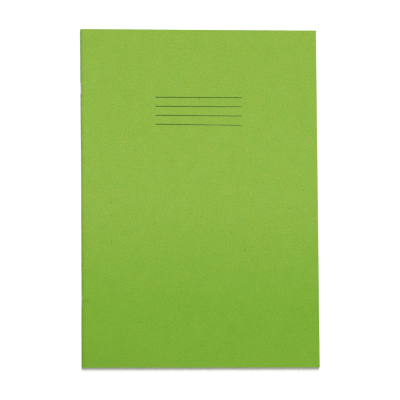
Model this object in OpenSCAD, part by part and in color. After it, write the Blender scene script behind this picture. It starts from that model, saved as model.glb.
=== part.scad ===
// Stapled exercise book: folded sheets inside a folded card cover, held by two wire staples.
// Millimetres. The closed book lies on its back cover: +Z up, +Y to the head, +X to the fore-edge.
// The origin is under the middle of the book, on the surface that it lies on.

/* [Book] */
// Height of the closed book, from head to tail
book_height = 297; // [200:1:320]
// Width of the closed book, from the fold to the fore-edge
book_width = 208; // [148:1:230]
// How far the rounded spine runs in from the fold before the covers turn flat
spine_depth = 3.1; // [2.8:0.1:4.2]

/* [Pages] */
// Number of folded sheets, each of which gives two leaves
sheet_count = 16; // [8:1:18]
// Thickness of one leaf
leaf_thickness = 0.1; // [0.08:0.01:0.12]
// Air that stays between two leaves
leaf_gap = 0.015; // [0.01:0.005:0.025]
// Paper pressed solid above and below the staples' legs, along the fold
fold_wall = 0.2; // [0.1:0.05:0.4]

/* [Cover] */
// Thickness of the cover card
card_thickness = 0.3; // [0.2:0.05:0.4]
// Air between the cover and the outermost leaf
cover_gap = 0.05; // [0.03:0.01:0.1]

/* [Name lines] */
// Number of printed lines on the front cover
line_count = 4; // [1:1:6]
// Length of a printed line
line_length = 75; // [40:1:120]
// Distance from one printed line to the next
line_pitch = 8; // [6:0.5:12]
// Width of a printed line
line_width = 0.55; // [0.2:0.05:0.8]
// Distance from the head to the middle of the first line
line_from_head = 60; // [30:0.5:100]
// How deep the ink has soaked into the card
ink_depth = 0.05; // [0.02:0.01:0.1]

/* [Staples] */
// Diameter of the staple wire
wire_diameter = 0.5; // [0.4:0.05:0.6]
// Length of a staple's crown along the spine, over its legs
crown_length = 12; // [10:0.5:15]
// Length of the leg's end that is bent over in the middle of the book
clinch_length = 4.5; // [3:0.5:4.5]
// Radius of the wire's bends, to the middle of the wire
wire_bend = 0.45; // [0.35:0.05:0.5]
// How far a staple pulls the fold of the card in
pinch_depth = 0.55; // [0.55:0.05:0.9]
// Length over which the fold runs in to a staple, at each end
pinch_run = 3; // [2:0.5:8]
// Distance from the head to the middle of the upper staple
upper_from_head = 52.5; // [40:0.5:90]
// Distance from the tail to the middle of the lower staple
lower_from_tail = 59.5; // [40:0.5:90]
// Room around the wire in the paper and the card
wire_clearance = 0.03; // [0.02:0.01:0.05]

/* [Hidden] */
$fn = 32;

// Flat steps in the quarter curve of the spine
curve_steps = 10;
// Flats around the staples' wire
wire_sides = 12;
// Extra reach of a cutting shape past the face that it opens
cut_over = 1;

leaf_pitch = leaf_thickness + leaf_gap;
half_thickness = card_thickness + cover_gap + sheet_count * leaf_pitch - leaf_gap / 2;
book_thickness = 2 * half_thickness;

// The spine is a pointed arch of two arcs. Each arc is level with the flat cover where it starts,
// and the two meet in the fold at half the thickness.
spine_radius = (pow(spine_depth, 2) + pow(half_thickness, 2)) / (2 * half_thickness);
centre_drop = spine_radius - half_thickness;
curve_step = acos(centre_drop / spine_radius) / curve_steps;

fold_x = -book_width / 2;
fore_x = book_width / 2;
bend_x = fold_x + spine_depth;

card_inner_radius = spine_radius - card_thickness;
first_sheet_radius = card_inner_radius - cover_gap;
last_sheet_inner_radius = centre_drop + leaf_gap / 2;
centre_fold_x = crease_x(last_sheet_inner_radius);

wire_radius = wire_diameter / 2;
wire_room = wire_radius + wire_clearance;
crown_x = fold_x + pinch_depth - wire_room;
clinch_x = centre_fold_x + pinch_depth + wire_room;
leg_spacing = crown_length - wire_diameter;
crown_run = leg_spacing - 2 * wire_bend;
leg_run = clinch_x - crown_x - 2 * wire_bend;
clinch_run = clinch_length - wire_bend;
fold_core_half = wire_room + fold_wall;

upper_staple_y = book_height / 2 - upper_from_head;
lower_staple_y = -book_height / 2 + lower_from_tail;
staple_places = [upper_staple_y, lower_staple_y];
first_line_y = book_height / 2 - line_from_head;

// Where a folded layer of this radius has its crease
function crease_x(radius) = bend_x - sqrt(pow(radius, 2) - pow(centre_drop, 2));

// Height of the flat part of a layer: side is 1 above the fold and -1 below it
function flat_z(radius, side) = half_thickness + side * (radius - centre_drop);

// Angles of the points on a layer's curve, in the same steps for every layer
function curve_angles(radius) =
    let (last = acos(centre_drop / radius))
    concat([for (i = [0 : curve_steps - 1]) if (i * curve_step < last - curve_step / 2) i * curve_step], [last]);

// Points along a layer's curve, from the flat part to the crease
function curve_points(radius, side) =
    [for (angle = curve_angles(radius))
        [bend_x - radius * sin(angle), half_thickness + side * (radius * cos(angle) - centre_drop)]];

// Points along a folded sheet's face, from the flat part above, round the crease, to the one below
function folded_points(radius) =
    let (above = curve_points(radius, 1), below = curve_points(radius, -1))
    concat(above, [for (i = [len(below) - 2 : -1 : 0]) below[i]]);

module box_between(low, high) {
    translate(low)
        cube(high - low);
}

// Turns a section in X and Z into a solid of the book's whole height, or past both ends of it
module from_head_to_tail(past = 0) {
    translate([0, book_height / 2 + past, 0])
        rotate([90, 0, 0])
            linear_extrude(book_height + 2 * past)
                children();
}

// The dent that a staple pulls into a layer, seen from above: x is that of the layer's crease
module dent(x, y) {
    half_seat = crown_length / 2 + wire_clearance;
    polygon([
        [x - cut_over, y - half_seat - pinch_run],
        [x, y - half_seat - pinch_run],
        [x + pinch_depth, y - half_seat],
        [x + pinch_depth, y + half_seat],
        [x, y + half_seat + pinch_run],
        [x - cut_over, y + half_seat + pinch_run]
    ]);
}

// Everything inside a folded layer's face, pulled in at the staples
module inside_of_layer(radius, past = 0) {
    difference() {
        from_head_to_tail(past)
            polygon(concat(
                [[fore_x + past, flat_z(radius, 1)]],
                folded_points(radius),
                [[fore_x + past, flat_z(radius, -1)]]
            ));
        for (y = staple_places)
            linear_extrude(book_thickness)
                dent(crease_x(radius), y);
    }
}

// A folded card or sheet, which is one layer above the fold and one below it
module folded_layer(radius, thickness) {
    difference() {
        inside_of_layer(radius);
        inside_of_layer(radius - thickness, cut_over);
    }
}

// The sheets' creases, pressed into one another along the fold
module pressed_fold() {
    intersection() {
        inside_of_layer(first_sheet_radius);
        translate([0, 0, half_thickness - fold_core_half])
            linear_extrude(2 * fold_core_half) {
                translate([fold_x, -book_height / 2])
                    square([centre_fold_x - fold_x, book_height]);
                for (y = staple_places)
                    dent(centre_fold_x, y);
            }
    }
}

// Room for the legs, through the fold to the middle of the book
module leg_room(y) {
    for (side = [-1, 1])
        translate([fold_x, y + side * leg_spacing / 2, half_thickness])
            rotate([0, 90, 0])
                cylinder(r = wire_room, h = clinch_x - fold_x);
}

// Room for the wire's bends from the crown into the legs
module bend_room(y) {
    for (side = [0, 1])
        translate([0, y, half_thickness])
            mirror([0, side, 0])
                box_between(
                    [fold_x, crown_run / 2, -wire_room],
                    [crown_x + wire_bend, crown_length / 2 + wire_clearance, wire_room]
                );
}

// Room for a staple's bends and bent-over ends, between the middle leaves
module clinch_room(y) {
    box_between(
        [clinch_x - wire_bend, y - crown_length / 2 - wire_clearance, half_thickness - wire_room],
        [clinch_x + wire_room, y + crown_length / 2 + wire_clearance, half_thickness + wire_room]
    );
}

// Straight wire from the origin along Y
module wire_along_y(length) {
    rotate([-90, 0, 0])
        cylinder(r = wire_radius, h = length, $fn = wire_sides);
}

// Straight wire from the origin along X
module wire_along_x(length) {
    rotate([0, 90, 0])
        cylinder(r = wire_radius, h = length, $fn = wire_sides);
}

// A quarter turn of wire about the origin, starting from the given angle
module wire_corner(start_angle) {
    rotate([0, 0, start_angle])
        rotate_extrude(angle = 90)
            translate([wire_bend, 0])
                circle(r = wire_radius, $fn = wire_sides);
}

// One leg, from the crown's end at the origin, through the fold and bent back along the spine
module staple_leg() {
    translate([wire_bend, 0, 0]) {
        wire_corner(90);
        translate([0, wire_bend, 0])
            wire_along_x(leg_run);
        translate([leg_run, 0, 0]) {
            wire_corner(0);
            translate([wire_bend, -clinch_run, 0])
                wire_along_y(clinch_run);
        }
    }
}

module staple(y) {
    color("silver")
        translate([crown_x, y, half_thickness]) {
            translate([0, -crown_run / 2, 0])
                wire_along_y(crown_run);
            for (side = [0, 1])
                mirror([0, side, 0])
                    translate([0, crown_run / 2, 0])
                        staple_leg();
        }
}

// The printed lines, from the depth that the ink has reached up to the given height
module line_bars(top_z) {
    for (i = [0 : line_count - 1]) {
        line_y = first_line_y - i * line_pitch;
        box_between(
            [-line_length / 2, line_y - line_width / 2, book_thickness - ink_depth],
            [line_length / 2, line_y + line_width / 2, top_z]
        );
    }
}

// One half of the card, above the fold or below it, with half of each leg's hole
module half_of_card(low_z) {
    difference() {
        intersection() {
            folded_layer(spine_radius, card_thickness);
            box_between(
                [fold_x, -book_height / 2, low_z],
                [fore_x, book_height / 2, low_z + half_thickness]
            );
        }
        for (y = staple_places) {
            leg_room(y);
            bend_room(y);
        }
    }
}

module front_cover() {
    color([0.56, 0.72, 0.28])
        difference() {
            half_of_card(half_thickness);
            line_bars(book_thickness + cut_over);
        }
}

module name_lines() {
    color([0.1, 0.14, 0.08])
        line_bars(book_thickness);
}

module back_cover() {
    color([0.54, 0.7, 0.26])
        half_of_card(0);
}

module page_block() {
    color([0.96, 0.96, 0.93])
        difference() {
            union() {
                for (i = [0 : sheet_count - 1])
                    folded_layer(first_sheet_radius - i * leaf_pitch, leaf_thickness);
                pressed_fold();
            }
            for (y = staple_places) {
                leg_room(y);
                clinch_room(y);
            }
        }
}

module staple_upper() {
    staple(upper_staple_y);
}

module staple_lower() {
    staple(lower_staple_y);
}

front_cover();
name_lines();
back_cover();
page_block();
staple_upper();
staple_lower();
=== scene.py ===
import random
from math import acos, cos, pi, radians, sin, sqrt

import bpy
from mathutils import Matrix, Vector


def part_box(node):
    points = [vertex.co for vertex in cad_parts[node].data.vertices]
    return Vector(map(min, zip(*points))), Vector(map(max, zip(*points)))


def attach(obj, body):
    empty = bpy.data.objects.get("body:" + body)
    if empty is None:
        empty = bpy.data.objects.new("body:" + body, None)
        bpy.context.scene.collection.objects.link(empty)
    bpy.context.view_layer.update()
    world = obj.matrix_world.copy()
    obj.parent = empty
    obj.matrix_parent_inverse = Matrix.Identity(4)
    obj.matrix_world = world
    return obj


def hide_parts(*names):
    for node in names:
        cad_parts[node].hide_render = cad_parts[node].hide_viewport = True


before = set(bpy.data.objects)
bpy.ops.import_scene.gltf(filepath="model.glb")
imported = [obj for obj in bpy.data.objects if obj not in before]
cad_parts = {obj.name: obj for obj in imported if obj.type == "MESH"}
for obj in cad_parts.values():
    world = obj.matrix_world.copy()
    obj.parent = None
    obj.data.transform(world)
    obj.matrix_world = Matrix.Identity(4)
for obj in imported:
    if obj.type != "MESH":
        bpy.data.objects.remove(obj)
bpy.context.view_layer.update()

MM = 0.001
ABOVE, BELOW = 1, -1
SEED = 11

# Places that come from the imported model
COVER_LOW, COVER_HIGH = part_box("front_cover")
FOLD_X = COVER_LOW.x
FORE_X = COVER_HIGH.x
HALF_HEIGHT = COVER_HIGH.y
HALF_THICKNESS = COVER_LOW.z
STAPLE_NODES = ("staple_upper", "staple_lower")
STAPLE_PLACES = [sum(corner.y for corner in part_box(node)) / 2 for node in STAPLE_NODES]

# Gauges of the book, the same as in its source
SPINE_DEPTH = 3.1 * MM
CARD = 0.3 * MM
COVER_GAP = 0.05 * MM
LEAF = 0.1 * MM
LEAF_GAP = 0.015 * MM
SHEET_COUNT = 16
WIRE_BEND = 0.45 * MM
CLINCH_LENGTH = 4.5 * MM
LINE_COUNT = 4
LINE_WIDTH = 0.55 * MM

# Curve of the spine, which is a pointed arch of two arcs
SPINE_RADIUS = (SPINE_DEPTH ** 2 + HALF_THICKNESS ** 2) / (2 * HALF_THICKNESS)
CENTRE_DROP = SPINE_RADIUS - HALF_THICKNESS
BEND_X = FOLD_X + SPINE_DEPTH

# Dents that the upper and the lower staple pull into the fold: the depth, half the length of the
# deepest part, the run into it at each end, and its place from the middle of the staple
PINCH_DEPTHS = (0.8 * MM, 0.42 * MM)
PINCH_SEATS = (2.3 * MM, 3.6 * MM)
PINCH_RUNS = (4.2 * MM, 3.2 * MM)
PINCH_SHIFTS = (0, -1.5 * MM)
# Share of a dent's depth in which the curve of a layer bends into it
PINCH_BLEND = 0.4
# How far the crowns of the two staples are bowed into their dents
CROWN_BOWS = (0.2 * MM, 0.05 * MM)

# How far the fold strays in from a straight line, and how far in the card still follows it
FOLD_WANDER = 0.4 * MM
WANDER_REACH = 14 * MM
# Waves of the stray along half the book, as size, turn in radians and start
SLOW_WAVE = (0.5, 2.9, -0.1)
QUICK_WAVES = ((0.1, 9, 0), (0.06, 23, 1))
# Power by which the stray ends at the head and the tail
WANDER_END = 8

# Worn corners of the card and of the leaves, and the share of this wear at the fold
CORNER_WEAR = 0.45 * MM
LEAF_WEAR = CORNER_WEAR * 0.6
FOLD_WEAR_SHARE = 0.6
# How far the card lies below the surface of the ink
SURFACE_SINK = 0.006 * MM
# How far the leaves' cut edges are out of line, and the uneven shares of air between the sheets
LEAF_STAGGER = 0.04 * MM
GAP_SHARES = (0.35, 1.65)

# Name lines: the reach past the exact left end, and the random step of a line's edges
LINE_OVERRUN = 0.8 * MM
LINE_RAGGED = 0.02 * MM
# Skew of the last line, the share of it that lifts the left end, and the power of the fall
LINE_SKEW = 0.8 * MM
LINE_LIFT = 0.25
LINE_FALL = 1.5
# Half a line's width at the left end and what it loses along the line, as shares of the width
LINE_HALF = 0.58
LINE_TAPER = 0.06

# Steps of the meshes, round the spine and then across the flat part
COVER_STEPS = (16, 14)
LEAF_STEPS = (9, 5)
# Distance between sections along the book, and beside a staple
COVER_SPACING = (6 * MM, 0.8 * MM)
LEAF_SPACING = (12 * MM, 1.6 * MM)
PINCH_MARGIN = 2 * MM
# Sections at the worn corners, as shares of the wear
CORNER_SECTIONS = (0.15, 0.4, 1.0)
WIRE_SIDES = 20
BEND_STEPS = 6
CROWN_STEPS = 12
LINE_STEPS = 90
SHARP_ANGLE = radians(30)
# Places of two of the folded sheets' three materials, after the plain paper
RULED_INDEX, EDGE_INDEX = 1, 2


# Curves of the folded layers

def crease_x(radius):
    """Where a folded layer of this radius has its crease."""
    return BEND_X - sqrt(radius ** 2 - CENTRE_DROP ** 2)


def layer_face(radius, side, arc_steps, flat_steps):
    """Points (x, z) along one face of a layer, from the crease to the fore-edge."""
    reach = acos(CENTRE_DROP / radius)
    points = []
    for i in range(arc_steps + 1):
        angle = reach * (1 - i / arc_steps)
        z = HALF_THICKNESS + side * (radius * cos(angle) - CENTRE_DROP)
        points.append((BEND_X - radius * sin(angle), z))
    flat_z = HALF_THICKNESS + side * (radius - CENTRE_DROP)
    run = FORE_X - BEND_X
    return points + [(BEND_X + run * (i / flat_steps) ** 2, flat_z) for i in range(1, flat_steps + 1)]


def folded_face(radius, arc_steps, flat_steps):
    """Points (x, z) along a folded sheet's face, from the fore-edge above to the one below."""
    above = layer_face(radius, ABOVE, arc_steps, flat_steps)
    below = layer_face(radius, BELOW, arc_steps, flat_steps)
    return above[::-1] + below[1:]


def sections(spacing, staple_spacing):
    """Places along Y for a layer's sections, closer together at the corners and the staples."""
    count = round(2 * HALF_HEIGHT / spacing)
    places = {-HALF_HEIGHT + 2 * HALF_HEIGHT * i / count for i in range(count + 1)}
    for share in CORNER_SECTIONS:
        places |= {HALF_HEIGHT - share * CORNER_WEAR, share * CORNER_WEAR - HALF_HEIGHT}
    reach = max(PINCH_SEATS) + max(PINCH_RUNS) + PINCH_MARGIN
    count = round(2 * reach / staple_spacing)
    for staple_y in STAPLE_PLACES:
        places = {y for y in places if abs(y - staple_y) > reach}
        places |= {staple_y - reach + 2 * reach * i / count for i in range(count + 1)}
    return sorted(places)


# Shape of the handled book

def smooth(value):
    """Ease from 0 to 1 as the value goes from 0 to 1."""
    value = min(max(value, 0), 1)
    return value * value * (3 - 2 * value)


def pinch_at(y):
    """How far the staples pull the fold in at this height."""
    pulls = []
    for i, staple_y in enumerate(STAPLE_PLACES):
        past_seat = abs(y - staple_y - PINCH_SHIFTS[i]) - PINCH_SEATS[i]
        pulls.append(PINCH_DEPTHS[i] * (1 - smooth(past_seat / PINCH_RUNS[i])))
    return max(pulls)


def wander_at(y):
    """How far the fold strays in from a straight line at this height."""
    along = y / HALF_HEIGHT
    slow_size, slow_turn, slow_start = SLOW_WAVE
    slow = slow_size * (1 + cos(slow_turn * along + slow_start))
    quick = sum(size * sin(turn * along + start) for size, turn, start in QUICK_WAVES)
    return FOLD_WANDER * (slow + quick) * (1 - along ** WANDER_END)


def corner_inset(y, wear):
    """How far a worn corner is rounded off at this height."""
    into_corner = min(max(abs(y) - (HALF_HEIGHT - wear), 0), wear)
    return wear - sqrt(wear ** 2 - into_corner ** 2)


def settle(x, y, layer_crease, wear):
    """Move a point of a layer from the exact book to the handled one, and return its new x."""
    strayed = x + wander_at(y) * (1 - smooth((x - FOLD_X) / WANDER_REACH))
    depth = pinch_at(y)
    limit = layer_crease + depth
    blend = PINCH_BLEND * depth
    pulled = (strayed + limit + sqrt((strayed - limit) ** 2 + blend ** 2)) / 2
    inset = corner_inset(y, wear)
    return min(max(pulled, layer_crease + inset * FOLD_WEAR_SHARE), FORE_X - inset)


# Meshes

def ring_faces(start, size, rings):
    """Faces between rings of points that follow one another in the list of points."""
    faces = []
    for first in range(start, start + (rings - 1) * size, size):
        for i in range(size):
            a, b = first + i, first + (i + 1) % size
            faces.append((a, b, b + size, a + size))
    return faces


def tube_faces(start, size, rings):
    """Faces of a tube that is closed at both ends."""
    ends = [tuple(range(first, first + size)) for first in (start, start + (rings - 1) * size)]
    return ring_faces(start, size, rings) + ends


def layer_bands(layers, places, wear):
    """Points and faces of some layers, with a mark for each face: outer, inner or cut.

    A layer is its outer face, its inner face, its crease and what is trimmed off its fore-edge.
    """
    verts, faces, marks = [], [], []
    for outer, inner, layer_crease, trim in layers:
        loop = outer + inner[::-1]
        start, size, outer_count = len(verts), len(loop), len(outer) - 1
        for y in places:
            for x, z in loop:
                settled = settle(x, y, layer_crease, wear)
                verts.append((min(settled, FORE_X - trim), y, z))
        faces += ring_faces(start, size, len(places))
        ring_marks = ["outer"] * outer_count + ["cut"] + ["inner"] * (size - outer_count - 2) + ["cut"]
        marks += ring_marks * (len(places) - 1)
        for first in (start, start + (len(places) - 1) * size):
            last = first + size - 1
            faces += [(first + i, first + i + 1, last - 1 - i, last - i) for i in range(outer_count)]
            marks += ["cut"] * outer_count
    return verts, faces, marks


def add_piece(name, verts, faces, *materials):
    """Put a mesh into the scene with outward normals, smooth except at its sharp edges."""
    mesh = bpy.data.meshes.new(name)
    mesh.from_pydata(verts, [], faces)
    mesh.update()
    piece = bpy.data.objects.new(name, mesh)
    bpy.context.scene.collection.objects.link(piece)
    bpy.context.view_layer.objects.active = piece
    piece.select_set(True)
    bpy.ops.object.mode_set(mode="EDIT")
    bpy.ops.mesh.select_all(action="SELECT")
    bpy.ops.mesh.normals_make_consistent(inside=False)
    bpy.ops.object.mode_set(mode="OBJECT")
    piece.select_set(False)
    mesh.shade_smooth()
    mesh.set_sharp_from_angle(angle=SHARP_ANGLE)
    for material in materials:
        mesh.materials.append(material)
    return piece


def stand_in(piece, body, node):
    """Let a piece ride on a body in the place of its solid."""
    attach(piece, body)
    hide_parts(node)


def make_cover(name, node, body, side, material):
    """One half of the card, which replaces its solid."""
    outer_radius = SPINE_RADIUS - SURFACE_SINK
    outer = layer_face(outer_radius, side, *COVER_STEPS)
    inner = layer_face(SPINE_RADIUS - CARD, side, *COVER_STEPS)
    layer = (outer, inner, crease_x(outer_radius), 0)
    verts, faces, _ = layer_bands([layer], sections(*COVER_SPACING), CORNER_WEAR)
    stand_in(add_piece(name, verts, faces, material), body, node)


def make_pages(name, paper, ruled, edges):
    """All the folded sheets as one piece. The first page is ruled."""
    rng = random.Random(SEED)
    shares = [rng.uniform(*GAP_SHARES) for _ in range(SHEET_COUNT)]
    gap_room = LEAF_GAP * (SHEET_COUNT - 0.5)
    layers = []
    radius = SPINE_RADIUS - CARD - COVER_GAP
    for share in shares:
        outer = folded_face(radius, *LEAF_STEPS)
        inner = folded_face(radius - LEAF, *LEAF_STEPS)
        layers.append((outer, inner, crease_x(radius), rng.uniform(0, LEAF_STAGGER)))
        radius -= LEAF + gap_room * share / sum(shares)
    verts, faces, marks = layer_bands(layers, sections(*LEAF_SPACING), LEAF_WEAR)
    piece = add_piece(name, verts, faces, paper, ruled, edges)
    faces_per_sheet = len(marks) / SHEET_COUNT
    for face, mark in zip(piece.data.polygons, marks):
        first_leaf = face.index < faces_per_sheet and face.center.z > HALF_THICKNESS
        if mark == "cut":
            face.material_index = EDGE_INDEX
        elif mark == "outer" and first_leaf:
            face.material_index = RULED_INDEX
    stand_in(piece, "book_block", "page_block")


def quarter_turn(centre, start):
    """Points (x, y) of a wire's bend about a centre, turning on from a start angle in degrees."""
    angles = [radians(start + 90 * i / BEND_STEPS) for i in range(BEND_STEPS + 1)]
    return [(centre[0] + WIRE_BEND * cos(a), centre[1] + WIRE_BEND * sin(a)) for a in angles]


def staple_path(crown_x, clinch_x, half_crown, bow):
    """Points (x, y) along a staple's wire, from one bent-over end round the crown to the other."""
    near, far = crown_x + WIRE_BEND, clinch_x - WIRE_BEND
    upper = half_crown - WIRE_BEND
    tip = half_crown - CLINCH_LENGTH + WIRE_BEND
    side = [(clinch_x, tip)] + quarter_turn((far, upper), 0) + quarter_turn((near, upper), 90)
    places = [upper * (1 - 2 * i / CROWN_STEPS) for i in range(1, CROWN_STEPS)]
    crown = [(crown_x + bow * cos(pi / 2 * y / upper), y) for y in places]
    return side + crown + [(x, -y) for x, y in side[::-1]]


def make_staple(name, node, material, bow):
    """One staple of round wire, which replaces its solid."""
    low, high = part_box(node)
    wire = (high.z - low.z) / 2
    middle_y, middle_z = (low.y + high.y) / 2, (low.z + high.z) / 2
    path = staple_path(low.x + wire, high.x - wire, (high.y - low.y) / 2 - wire, bow)
    turns = [2 * pi * k / WIRE_SIDES for k in range(WIRE_SIDES)]
    verts = []
    for i, (x, y) in enumerate(path):
        before, after = path[max(i - 1, 0)], path[min(i + 1, len(path) - 1)]
        across = Vector((before[1] - after[1], after[0] - before[0])).normalized()
        for turn in turns:
            out, up = wire * cos(turn), wire * sin(turn)
            verts.append((x + across.x * out, middle_y + y + across.y * out, middle_z + up))
    piece = add_piece(name, verts, tube_faces(0, WIRE_SIDES, len(path)), material)
    stand_in(piece, "book_block", node)


def make_lines(name, node, material):
    """The printed name lines, each a little more askew than the one above, with ragged edges."""
    rng = random.Random(SEED + 1)
    low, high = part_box(node)
    left = low.x - LINE_OVERRUN
    pitch = (high.y - low.y - LINE_WIDTH) / (LINE_COUNT - 1)
    verts, faces = [], []
    for line in range(LINE_COUNT):
        middle = high.y - LINE_WIDTH / 2 - line * pitch
        skew = LINE_SKEW * (line / (LINE_COUNT - 1)) ** 2
        start = len(verts)
        for i in range(LINE_STEPS + 1):
            along = i / LINE_STEPS
            x = left + (high.x - left) * along
            y = middle + skew * (LINE_LIFT - along ** LINE_FALL)
            half = LINE_WIDTH * (LINE_HALF - LINE_TAPER * along)
            above, below = (y + half * side + rng.uniform(-1, 1) * LINE_RAGGED for side in (1, -1))
            verts += [(x, above, high.z), (x, below, high.z), (x, below, low.z), (x, above, low.z)]
        faces += tube_faces(start, 4, LINE_STEPS + 1)
    stand_in(add_piece(name, verts, faces, material), "front_cover", node)


# Materials

class Nodes:
    """Short calls for building one material's node tree."""

    def __init__(self, name):
        self.material = bpy.data.materials.new(name)
        self.material.use_nodes = True
        self.tree = self.material.node_tree
        self.shader = self.tree.nodes["Principled BSDF"]
        self.place = self.add("ShaderNodeTexCoord", {}).outputs["Object"]

    def add(self, kind, inputs, **settings):
        """A new node with its settings and with its inputs linked or set."""
        node = self.tree.nodes.new(kind)
        for key, value in settings.items():
            setattr(node, key, value)
        for key, value in inputs.items():
            self.feed(node.inputs[key], value)
        return node

    def feed(self, socket, value):
        """Link a socket to another node's output, or set it to a plain value."""
        if isinstance(value, bpy.types.NodeSocket):
            self.tree.links.new(value, socket)
        else:
            socket.default_value = value

    def shade(self, name, value):
        """Link or set one of the shader's own sockets."""
        self.feed(self.shader.inputs[name], value)

    def axis(self, name):
        """One coordinate of the point, in metres."""
        return self.add("ShaderNodeSeparateXYZ", {"Vector": self.place}).outputs[name]

    def stretched(self, scale, turn=0.0):
        """The point on stretched and turned axes, for marks that run one way."""
        inputs = {"Vector": self.place, "Scale": scale, "Rotation": (0, 0, turn)}
        return self.add("ShaderNodeMapping", inputs).outputs["Vector"]

    def shifted(self, distance):
        """The point moved sideways, so that two noises of one size differ."""
        inputs = {"Vector": self.place, "Location": (distance, distance, 0)}
        return self.add("ShaderNodeMapping", inputs).outputs["Vector"]

    def noise(self, size, detail=2.0, roughness=0.5, where=None):
        """Soft noise whose blotches are about this size in metres."""
        inputs = {"Vector": where or self.place, "Scale": 1 / size}
        inputs |= {"Detail": detail, "Roughness": roughness}
        return self.add("ShaderNodeTexNoise", inputs).outputs["Fac"]

    def math(self, operation, *values):
        """The result of a sum, product or other operation."""
        inputs = dict(enumerate(values))
        return self.add("ShaderNodeMath", inputs, operation=operation).outputs["Value"]

    def remap(self, value, low, high, to_low, to_high):
        """A value moved from one range to another, and held inside it."""
        inputs = dict(enumerate((value, low, high, to_low, to_high)))
        return self.add("ShaderNodeMapRange", inputs).outputs["Result"]

    def mix(self, factor, a, b, blend="MIX"):
        """A colour between two others, or their product."""
        inputs = {"Factor": factor, "A": a, "B": b}
        node = self.add("ShaderNodeMix", inputs, data_type="RGBA", blend_type=blend)
        return node.outputs["Result"]

    def channels(self, red, green, blue):
        """One colour from three numbers."""
        inputs = {"Red": red, "Green": green, "Blue": blue}
        return self.add("ShaderNodeCombineColor", inputs).outputs["Color"]

    def sway(self, noises, amounts):
        """A factor around 1 that follows some noises, each by its own amount."""
        total = 1.0
        for noise, amount in zip(noises, amounts):
            swing = self.math("MULTIPLY", self.math("SUBTRACT", noise, 0.5), amount)
            total = self.math("ADD", total, swing)
        return total

    def specks(self, spacing, radius, share):
        """Round specks in a share of the cells of a loose flat grid, some fainter than others."""
        inputs = {"Vector": self.place, "Scale": 1 / spacing}
        grid = self.add("ShaderNodeTexVoronoi", inputs, voronoi_dimensions="2D")
        dot = self.remap(grid.outputs["Distance"], 0, radius / spacing, 1, 0)
        draws = self.add("ShaderNodeSeparateColor", {"Color": grid.outputs["Color"]}).outputs
        chosen = self.math("LESS_THAN", draws["Red"], share)
        strength = self.remap(draws["Green"], 0, 1, FAINTEST_SPECK, 1)
        return self.math("MULTIPLY", dot, self.math("MULTIPLY", chosen, strength))

    def spot(self, middle, size):
        """A soft oval patch on the cover, 1 in its middle and 0 outside."""
        squares = []
        for name, centre, reach in zip("XY", middle, size):
            offset = self.math("DIVIDE", self.math("SUBTRACT", self.axis(name), centre), reach)
            squares.append(self.math("MULTIPLY", offset, offset))
        return self.remap(self.math("ADD", *squares), SPOT_CORE, 1, 1, 0)

    def bump(self, height, distance, strength=1.0):
        """Raise the surface by a height of up to this distance in metres."""
        inputs = {"Height": height, "Distance": distance, "Strength": strength}
        self.shade("Normal", self.add("ShaderNodeBump", inputs).outputs["Normal"])


def colour(red, green, blue):
    """An opaque colour in linear light."""
    return (red, green, blue, 1.0)


# The part of a noise's range that holds most of it
NOISE_RANGE = (0.3, 0.7)
# Strength of the faintest speck, and squared share of a spot's reach that is in full strength
FAINTEST_SPECK = 0.35
SPOT_CORE = 0.1
# Gloss of dry card and paper
DRY_GLOSS = 0.25

# The card's dye with painted shade from the head of the book to its tail: a little darker at the head,
# paler in the middle and deeper toward the tail, and the places where it changes
SHADED_DYE_HEAD = colour(0.265, 0.456, 0.048)
SHADED_DYE_MIDDLE = colour(0.274, 0.481, 0.0535)
SHADED_DYE_TAIL = colour(0.2065, 0.44, 0.0284)
HEAD_SHADE_FADE = (30 * MM, HALF_HEIGHT)
TAIL_SHADE_FADE = (-6 * MM, -101 * MM)

# Grains of the card, as size, detail and roughness
TOOTH = (1.1 * MM, 3, 0.7)
RED_CLOUD = (8 * MM, 5, 0.66)
BLUE_CLOUD = (9 * MM, 5, 0.66)
FIBRES = (0.9 * MM, 2, 0.5)
# Shifts that set the two clouds apart, and the stretch and turn of the fibres
RED_SHIFT, BLUE_SHIFT = 0.7, 1.9
FIBRE_STRETCH = ((1, 0.16, 1), radians(20))
# Share of the fibres in the card's relief, its height and how strongly it shows
FIBRE_SHARE = 0.5
CARD_RELIEF = (0.03 * MM, 0.5)
# How far the tooth, the red cloud and the blue cloud sway the dye's red, green and blue
DYE_SWAYS = ((1.18, 0.4, 0), (0.87, 0.06, 0.1), (3.2, 0, 0.7))
CARD_ROUGHNESS = (0.7, 0.86)

# Loose fibres in the card, as spacing, radius, share of the places that have one, and colour
DARK_FIBRE = colour(0.07, 0.185, 0.02)
PALE_FIBRE = colour(0.46, 0.68, 0.2)
CARD_SPECKS = (
    (5 * MM, 0.5 * MM, 0.05, DARK_FIBRE),
    (13 * MM, 0.85 * MM, 0.1, DARK_FIBRE),
    (6.3 * MM, 0.6 * MM, 0.03, PALE_FIBRE),
)

# A darker patch at the tail end of the spine, and painted shade of a small dent in the card beside the
# lower staple, as middle, reach, strength and colour
DENT_SHADE_PLACE = (FOLD_X + 4.6 * MM, STAPLE_PLACES[1] - 1.4 * MM)
CARD_SPOTS = (
    # A broad darker patch over the tail end of the spine
    ((FOLD_X, -HALF_HEIGHT), (80 * MM, 30 * MM), 0.22, colour(0.16, 0.35, 0.017)),
    # Painted shade of the small dent beside the lower staple
    (DENT_SHADE_PLACE, (3.4 * MM, 2.4 * MM), 0.75, colour(0.19, 0.37, 0.012)),
)


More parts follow.
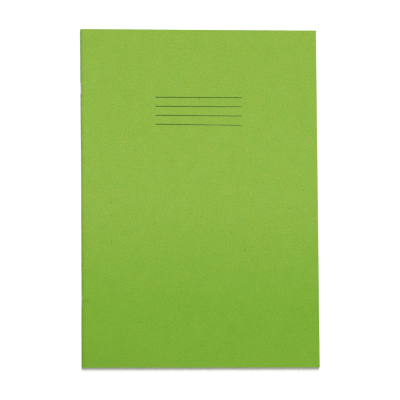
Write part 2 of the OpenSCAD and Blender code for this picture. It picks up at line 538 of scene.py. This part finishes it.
def card_material():
    """Coloured manila card: fine tooth, cloudy dye, loose fibres, and painted shade that makes it
    paler in the middle and deeper toward the tail.
    """
    n = Nodes("manila_card")
    # Painted shade: the colour is paler in the middle and deeper toward the tail, in place of the
    # lamp's fall of light
    dye_and_shade = n.mix(n.remap(n.axis("Y"), *HEAD_SHADE_FADE, 0, 1), SHADED_DYE_MIDDLE, SHADED_DYE_HEAD)
    dye_and_shade = n.mix(n.remap(n.axis("Y"), *TAIL_SHADE_FADE, 0, 1), dye_and_shade, SHADED_DYE_TAIL)
    tooth = n.noise(*TOOTH)
    red_cloud = n.noise(*RED_CLOUD, n.shifted(RED_SHIFT))
    blue_cloud = n.noise(*BLUE_CLOUD, n.shifted(BLUE_SHIFT))
    sways = [n.sway((tooth, red_cloud, blue_cloud), amounts) for amounts in DYE_SWAYS]
    dye_and_shade = n.mix(1.0, dye_and_shade, n.channels(*sways), "MULTIPLY")
    for spacing, radius, share, tint in CARD_SPECKS:
        dye_and_shade = n.mix(n.specks(spacing, radius, share), dye_and_shade, tint)
    # The spots: a darker patch at the tail of the spine, and painted shade of the dent beside the
    # lower staple
    for middle, reach, strength, tint in CARD_SPOTS:
        dye_and_shade = n.mix(n.math("MULTIPLY", n.spot(middle, reach), strength), dye_and_shade, tint)
    n.shade("Base Color", dye_and_shade)
    n.shade("Roughness", n.remap(tooth, *NOISE_RANGE, *CARD_ROUGHNESS))
    n.shade("Specular IOR Level", DRY_GLOSS)
    fibres = n.noise(*FIBRES, n.stretched(*FIBRE_STRETCH))
    n.bump(n.math("MULTIPLY_ADD", fibres, FIBRE_SHARE, tooth), *CARD_RELIEF)
    return n.material


# Ink, and what shows of the card where the ink is starved
INK = colour(0.01, 0.014, 0.009)
BARE_INK = colour(0.26, 0.44, 0.18)
# How starved the first and the last line are, and between which places along them it sets in
STARVED = (0.05, 0.24)
STARVED_FADE = (-22 * MM, 16 * MM)
# Grain that breaks the ink, the part of its range that does so, and how far
BREAK_GRAIN = (0.5 * MM, 3, 0.6)
BREAK_RANGE = (0.5, 0.8)
BREAKS = 0.08
INK_GRAIN = (0.6 * MM, 3)
INK_RELIEF = (0.01 * MM, 0.5)


def ink_material():
    """Printed ink, starved toward the right of the lower lines and broken by the card's grain."""
    n = Nodes("printed_ink")
    low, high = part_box("name_lines")
    starved = n.remap(n.axis("Y"), high.y, low.y, *STARVED)
    starved = n.math("MULTIPLY", starved, n.remap(n.axis("X"), *STARVED_FADE, 0, 1))
    breaks = n.remap(n.noise(*BREAK_GRAIN), *BREAK_RANGE, 0, BREAKS)
    n.shade("Base Color", n.mix(n.math("ADD", starved, breaks), INK, BARE_INK))
    n.shade("Roughness", 0.8)
    n.shade("Specular IOR Level", 0.1)
    n.bump(n.noise(*INK_GRAIN), *INK_RELIEF)
    return n.material


# Writing paper, its clouds and the share of its light that they keep, and its fine tooth
PAPER = colour(0.86, 0.865, 0.84)
PAPER_CLOUD = (2.5 * MM, 3, 0.6)
CLOUD_LIGHT = 0.97
PAPER_TOOTH = (0.35 * MM, 3, 0.6)
PAPER_RELIEF = (0.01 * MM, 0.4)
# Cut edges, painted darker than the paper as shade between the leaves, and the streaks that the
# trimming knife leaves along them
PAPER_EDGE_SHADE = colour(0.66, 0.665, 0.63)
KNIFE_STREAKS = (0.22 * MM, 3, 0.6)
STREAK_STRETCH = (0.03, 0.03, 1)
# Ruling of the first page, and the grain that makes its lines uneven
RULE_GREY = colour(0.33, 0.34, 0.36)
RULE_PITCH = 12 * MM
RULE_WIDTH = 0.35 * MM
RULE_MARGIN = 30 * MM
RULE_STRENGTH = (0.45, 0.75)
RULE_GRAIN = (0.7 * MM, 3)


def paper_tint(n):
    """The colour of writing paper, with faint fibre clouds."""
    clouds = n.remap(n.noise(*PAPER_CLOUD), *NOISE_RANGE, 0, 1)
    return n.mix(clouds, colour(*(channel * CLOUD_LIGHT for channel in PAPER[:3])), PAPER)


def finish_paper(n, tint):
    """Matt paper of this colour, with a fine tooth."""
    n.shade("Base Color", tint)
    n.shade("Roughness", 0.85)
    n.shade("Specular IOR Level", DRY_GLOSS)
    n.bump(n.noise(*PAPER_TOOTH), *PAPER_RELIEF)
    return n.material


def paper_material():
    """Plain writing paper."""
    n = Nodes("plain_paper")
    return finish_paper(n, paper_tint(n))


def ruled_material():
    """Writing paper with faint grey lines across the page, below a wide head margin."""
    n = Nodes("ruled_paper")
    below_head = n.math("SUBTRACT", HALF_HEIGHT - RULE_MARGIN, n.axis("Y"))
    beside_line = n.math("PINGPONG", below_head, RULE_PITCH / 2)
    line = n.remap(beside_line, RULE_WIDTH * 0.4, RULE_WIDTH * 0.6, 1, 0)
    line = n.math("MULTIPLY", line, n.math("GREATER_THAN", below_head, -RULE_PITCH / 4))
    strength = n.remap(n.noise(*RULE_GRAIN), *NOISE_RANGE, *RULE_STRENGTH)
    line = n.math("MULTIPLY", line, strength)
    return finish_paper(n, n.mix(line, paper_tint(n), RULE_GREY))


def page_edge_material():
    """Cut edges of the leaves, painted darker with shade between the leaves and streaked along their
    length by the trimming knife.
    """
    n = Nodes("page_edges")
    streaks = n.noise(*KNIFE_STREAKS, n.stretched(STREAK_STRETCH))
    return finish_paper(n, n.mix(n.remap(streaks, *NOISE_RANGE, 0, 1), PAPER_EDGE_SHADE, PAPER))


# Steel in and between the drawing marks of the wire, and the marks, which run along it
WIRE_DARK = colour(0.53, 0.52, 0.55)
WIRE_PALE = colour(0.62, 0.61, 0.64)
WIRE_ROUGHNESS = (0.42, 0.52)
DRAWING_MARKS = (0.12 * MM, 3, 0.6)
MARK_STRETCH = (1, 0.15, 1)
WIRE_RELIEF = (0.004 * MM, 0.2)


def wire_material():
    """Satin drawn steel wire, with fine drawing marks."""
    n = Nodes("steel_wire")
    marks = n.noise(*DRAWING_MARKS, n.stretched(MARK_STRETCH))
    n.shade("Base Color", n.mix(marks, WIRE_DARK, WIRE_PALE))
    n.shade("Roughness", n.remap(marks, *NOISE_RANGE, *WIRE_ROUGHNESS))
    n.shade("Metallic", 1.0)
    n.bump(marks, *WIRE_RELIEF)
    return n.material


# Floor and light

# Half the floor's width, its white, and its glow where it is seen
FLOOR_HALF = 4.0
FLOOR_WHITE = 0.94
FLOOR_GLOW = 0.18
# The even light on the book
AMBIENT = 0.18
AMBIENT_TINT = colour(1, 1, 0.95)
# The lamp's height, its shift to the right, its reach beyond the book's middle, and its power
STRIP_HEIGHT = 3.0
STRIP_SHIFT = 0.12
STRIP_REACH = (0.4, 2.4)
STRIP_WIDTH = 0.2
STRIP_POWER = 102.0


def seen_rays(tree):
    """1 for rays that show the background: straight, mirrored or through glass."""
    path = tree.nodes.new("ShaderNodeLightPath")
    total = path.outputs["Is Camera Ray"]
    for name in ("Is Glossy Ray", "Is Transmission Ray"):
        node = tree.nodes.new("ShaderNodeMath")
        node.operation = "MAXIMUM"
        tree.links.new(total, node.inputs[0])
        tree.links.new(path.outputs[name], node.inputs[1])
        total = node.outputs["Value"]
    return total


def floor_material():
    """White that keeps the book's shadow and glows a little where it is seen."""
    material = bpy.data.materials.new("floor_white")
    material.use_nodes = True
    tree = material.node_tree
    tree.nodes.remove(tree.nodes["Principled BSDF"])
    diffuse = tree.nodes.new("ShaderNodeBsdfDiffuse")
    diffuse.inputs["Color"].default_value = colour(FLOOR_WHITE, FLOOR_WHITE, FLOOR_WHITE)
    glow = tree.nodes.new("ShaderNodeEmission")
    strength = tree.nodes.new("ShaderNodeMath")
    strength.operation = "MULTIPLY"
    strength.inputs[1].default_value = FLOOR_GLOW
    tree.links.new(seen_rays(tree), strength.inputs[0])
    tree.links.new(strength.outputs["Value"], glow.inputs["Strength"])
    both = tree.nodes.new("ShaderNodeAddShader")
    tree.links.new(diffuse.outputs["BSDF"], both.inputs[0])
    tree.links.new(glow.outputs["Emission"], both.inputs[1])
    tree.links.new(both.outputs["Shader"], tree.nodes["Material Output"].inputs["Surface"])
    return material


def make_floor():
    """A wide flat floor under the book."""
    corners = [(-FLOOR_HALF, -FLOOR_HALF), (FLOOR_HALF, -FLOOR_HALF)]
    corners += [(FLOOR_HALF, FLOOR_HALF), (-FLOOR_HALF, FLOOR_HALF)]
    mesh = bpy.data.meshes.new("floor")
    mesh.from_pydata([(x, y, 0) for x, y in corners], [], [(0, 1, 2, 3)])
    floor = bpy.data.objects.new("floor", mesh)
    bpy.context.scene.collection.objects.link(floor)
    mesh.materials.append(floor_material())


def make_world():
    """White where it is seen, and a soft even light on the book."""
    world = bpy.data.worlds.new("studio")
    bpy.context.scene.world = world
    world.use_nodes = True
    tree = world.node_tree
    strength = tree.nodes.new("ShaderNodeMapRange")
    tree.links.new(seen_rays(tree), strength.inputs["Value"])
    strength.inputs["To Min"].default_value = AMBIENT
    strength.inputs["To Max"].default_value = 1.0
    background = tree.nodes["Background"]
    background.inputs["Color"].default_value = AMBIENT_TINT
    tree.links.new(strength.outputs["Result"], background.inputs["Strength"])


def make_strip_lamp():
    """A long soft lamp, high over the book's right half, that runs away beyond its head."""
    data = bpy.data.lights.new("strip_lamp", "AREA")
    data.shape = "RECTANGLE"
    data.size = STRIP_WIDTH
    data.size_y = STRIP_REACH[1] - STRIP_REACH[0]
    data.energy = STRIP_POWER
    lamp = bpy.data.objects.new("strip_lamp", data)
    lamp.location = (STRIP_SHIFT, sum(STRIP_REACH) / 2, STRIP_HEIGHT)
    bpy.context.scene.collection.objects.link(lamp)


# Camera

# Where it stands and what it looks at in metres, its lean, and its lens and sensor in millimetres
CAMERA_PLACE = Vector((-0.3498, -0.3658, 3.4634))
CAMERA_AIM = Vector((0.00008, -0.00186, 0.004365))
CAMERA_LEAN = radians(0.458)
CAMERA_LENS = 360.0
CAMERA_SENSOR = 36.0
CAMERA_SIGHT = 20.0


def make_camera():
    """A long lens almost straight above the book, from slightly left of it and toward its tail."""
    data = bpy.data.cameras.new("camera")
    data.lens = CAMERA_LENS
    data.sensor_width = CAMERA_SENSOR
    data.clip_end = CAMERA_SIGHT
    camera = bpy.data.objects.new("camera", data)
    bpy.context.scene.collection.objects.link(camera)
    ahead = (CAMERA_AIM - CAMERA_PLACE).normalized()
    right = ahead.cross(Vector((0, 1, 0))).normalized()
    up = right.cross(ahead)
    level = Matrix((right, up, -ahead)).transposed()
    turn = level @ Matrix.Rotation(-CAMERA_LEAN, 3, "Z")
    camera.matrix_world = Matrix.Translation(CAMERA_PLACE) @ turn.to_4x4()
    bpy.context.scene.camera = camera


# The scene

bpy.context.scene.view_settings.view_transform = "Standard"
card = card_material()
make_cover("front_card", "front_cover", "front_cover", ABOVE, card)
make_cover("back_card", "back_cover", "back_cover", BELOW, card)
make_pages("folded_sheets", paper_material(), ruled_material(), page_edge_material())
wire = wire_material()
for name, node, bow in zip(("wire_upper", "wire_lower"), STAPLE_NODES, CROWN_BOWS):
    make_staple(name, node, wire, bow)
make_lines("printed_lines", "name_lines", ink_material())
make_floor()
make_world()
make_strip_lamp()
make_camera()
